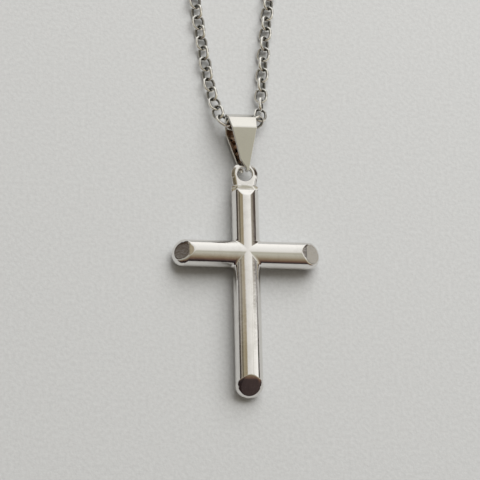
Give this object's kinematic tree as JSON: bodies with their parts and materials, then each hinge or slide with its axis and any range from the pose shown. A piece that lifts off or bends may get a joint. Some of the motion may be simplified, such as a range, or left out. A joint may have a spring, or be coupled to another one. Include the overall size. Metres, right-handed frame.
{
  "type": "cross pendant on a chain",
  "caption": "Cross of polished round bar with slanted facets on its free ends, hung by a folded sheet bail on a fine cable chain with a round clasp, lying flat.",
  "frame": {"origin": "on the surface that the pendant lies on, below the crossing of the bars", "axes": "X along the arms, Y up the post towards the chain, Z away from the surface"},
  "size_m": [0.0571, 0.2744, 0.0045],
  "materials": {
    "polished_steel": "mirror polished, with faint wear marks",
    "bail_steel": "polished sheet",
    "chain_steel": "polished wire",
    "clasp_steel": "polished wire"
  },
  "bodies": {
    "root": {"cross": "polished_steel", "bail": "bail_steel", "chain": "chain_steel", "clasp": "clasp_steel"}
  },
  "joints": []
}
